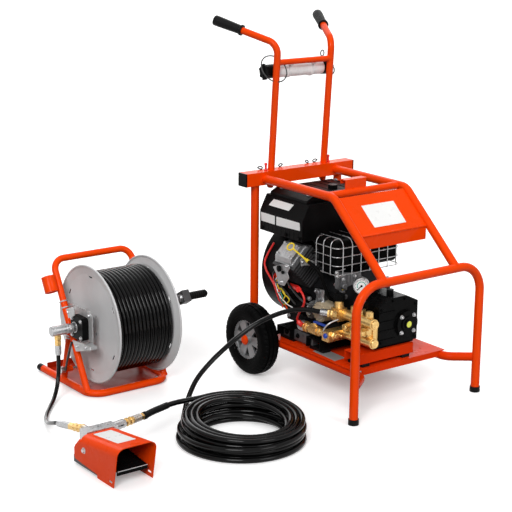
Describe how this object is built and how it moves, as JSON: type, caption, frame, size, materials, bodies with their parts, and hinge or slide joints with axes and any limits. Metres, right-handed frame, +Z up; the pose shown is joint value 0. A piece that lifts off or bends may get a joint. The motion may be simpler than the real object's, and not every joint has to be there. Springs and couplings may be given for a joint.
{
  "type": "drain jetter",
  "caption": "Engine-driven high-pressure drain jetter on a two-wheeled tube cart, with a cranked hose reel, a guarded foot pedal valve and connecting hoses.",
  "frame": {"origin": "on the floor, under the middle of the whole layout's box (cart, reel stand and pedal)", "axes": "+X towards the cart's right, from the pedal towards the cart; +Y from the cart's front arch back towards its handle; +Z up"},
  "size_m": [1.561, 1.232, 1.3291],
  "materials": {
    "frame_paint": "gloss orange-red paint",
    "black_paint": "satin black paint",
    "black_plastic": "moulded black plastic",
    "black_rubber": "matt rubber",
    "tyre_rubber": "matt tyre rubber",
    "rim_grey": "light grey",
    "steel": "bright zinc-plated steel",
    "cast_alu": "cast aluminium",
    "bright_alu": "bright cast aluminium",
    "case_grey": "dark painted casting",
    "brass": "machined brass",
    "white_plastic": "white plastic tube",
    "flange_paint": "light grey paint",
    "pan_paint": "dark red paint",
    "yellow_plastic": "yellow plastic",
    "blue_vinyl": "blue vinyl sleeve",
    "filter_tan": "tan paint",
    "hose_rubber": "matt black hose"
  },
  "bodies": {
    "cart": {"front_arch": "frame_paint", "foot_tips": "black_rubber", "deck_rails": "frame_paint", "deck_plate": "frame_paint", "rear_posts": "frame_paint", "crossbar": "frame_paint", "end_caps": "black_plastic", "side_tubes": "frame_paint", "hood_panel": "frame_paint", "axle": "steel", "handle_frame": "frame_paint", "handle_grips": "black_rubber", "nozzle_tube": "white_plastic", "mount_channels": "frame_paint", "rubber_mounts": "black_rubber", "crankcase": "case_grey", "cylinders": "cast_alu", "valve_covers": "bright_alu", "blower_housing": "black_plastic", "air_cleaner": "black_plastic", "muffler": "black_paint", "muffler_guard": "steel", "dipstick_tube": "black_paint", "starter_motor": "cast_alu", "oil_filter": "filter_tan", "pump_body": "black_paint", "pump_cover": "black_paint", "manifold": "brass", "unloader": "brass", "gauge": "steel", "inlet_valve": "brass", "outlet_fitting": "steel", "reel_frame": "frame_paint", "reel_pan": "pan_paint", "reel_bearings": "black_plastic", "reel_swivel": "steel", "pedal_guard": "frame_paint", "pedal_valve": "steel", "hose_pump": "hose_rubber", "hose_coil": "hose_rubber", "hose_pedal": "hose_rubber", "hose_reel": "hose_rubber"},
    "wheel_left": {"tyre_left": "tyre_rubber", "rim_left": "rim_grey"},
    "wheel_right": {"tyre_right": "tyre_rubber", "rim_right": "rim_grey"},
    "reel": {"reel_drum": "flange_paint", "hose_winding": "hose_rubber", "crank_arm": "steel"},
    "crank_grip": {"crank_grip": "black_plastic"},
    "lock_pin": {"reel_lock_pin": "steel"},
    "treadle": {"treadle": "cast_alu"},
    "valve_stem": {"valve_stem": "steel"},
    "nozzle_tube_plug": {"nozzle_tube_plug": "black_plastic"},
    "air_cleaner_knob": {"air_cleaner_knob": "black_plastic"},
    "dipstick": {"dipstick": "yellow_plastic"},
    "pump_oil_cap": {"pump_oil_cap": "black_plastic"},
    "unloader_knob": {"unloader_knob": "black_plastic"},
    "inlet_lever": {"inlet_lever": "blue_vinyl"},
    "gauge_needle": {"gauge_needle": "black_paint"}
  },
  "joints": [
    {"name": "wheel_left_spin", "type": "hinge", "parent": "cart", "child": "wheel_left", "pos_m": [0.209, 0.0875, 0.136], "axis": [1, 0, 0], "continuous": true},
    {"name": "wheel_right_spin", "type": "hinge", "parent": "cart", "child": "wheel_right", "pos_m": [0.729, 0.0875, 0.136], "axis": [1, 0, 0], "continuous": true},
    {"name": "reel_spin", "type": "hinge", "parent": "cart", "child": "reel", "pos_m": [-0.255, 0.2755, 0.25], "axis": [1, 0, 0], "continuous": true},
    {"name": "crank_grip_spin", "type": "hinge", "parent": "reel", "child": "crank_grip", "pos_m": [-0.009, 0.14007, 0.33138], "axis": [1, 0, 0], "continuous": true},
    {"name": "lock_pin_slide", "type": "slide", "parent": "cart", "child": "lock_pin", "axis": [-1, 0, 0], "range_m": [0, 0.02]},
    {"name": "treadle_press", "type": "hinge", "parent": "cart", "child": "treadle", "pos_m": [-0.708, -0.3645, 0.066], "axis": [1, 0, 0], "range_deg": [0, 8], "stiffness_Nm_per_rad": 20, "springref_deg": -11.46},
    {"name": "valve_stem_slide", "type": "slide", "parent": "cart", "child": "valve_stem", "axis": [0, 0, -1], "range_m": [0, 0.0105]},
    {"name": "nozzle_plug_pull", "type": "slide", "parent": "cart", "child": "nozzle_tube_plug", "axis": [-1, 0, 0], "range_m": [0, 0.06]},
    {"name": "air_cleaner_knob_turn", "type": "hinge", "parent": "cart", "child": "air_cleaner_knob", "pos_m": [0.492, -0.0345, 0.7], "axis": [0, 0, 1], "continuous": true},
    {"name": "dipstick_pull", "type": "slide", "parent": "cart", "child": "dipstick", "axis": [0, 0.9511, 0.309], "range_m": [0, 0.06]},
    {"name": "oil_cap_turn", "type": "hinge", "parent": "cart", "child": "pump_oil_cap", "pos_m": [0.457, -0.4105, 0.388], "axis": [0, 0, 1], "continuous": true},
    {"name": "unloader_knob_turn", "type": "hinge", "parent": "cart", "child": "unloader_knob", "pos_m": [0.3235, -0.2885, 0.357], "axis": [0, 0, 1], "range_deg": [-170, 170]},
    {"name": "inlet_lever_turn", "type": "hinge", "parent": "cart", "child": "inlet_lever", "pos_m": [0.279, -0.2095, 0.262], "axis": [0, 0, -1], "range_deg": [0, 90]},
    {"name": "gauge_needle_turn", "type": "hinge", "parent": "cart", "child": "gauge_needle", "pos_m": [0.3405, -0.387, 0.434], "axis": [0.6018, 0.7986, 0], "range_deg": [0, 270]}
  ],
  "couplings": [
    {"joint": "valve_stem_slide", "follows": "treadle_press", "m_per_rad": 0.0698}
  ]
}
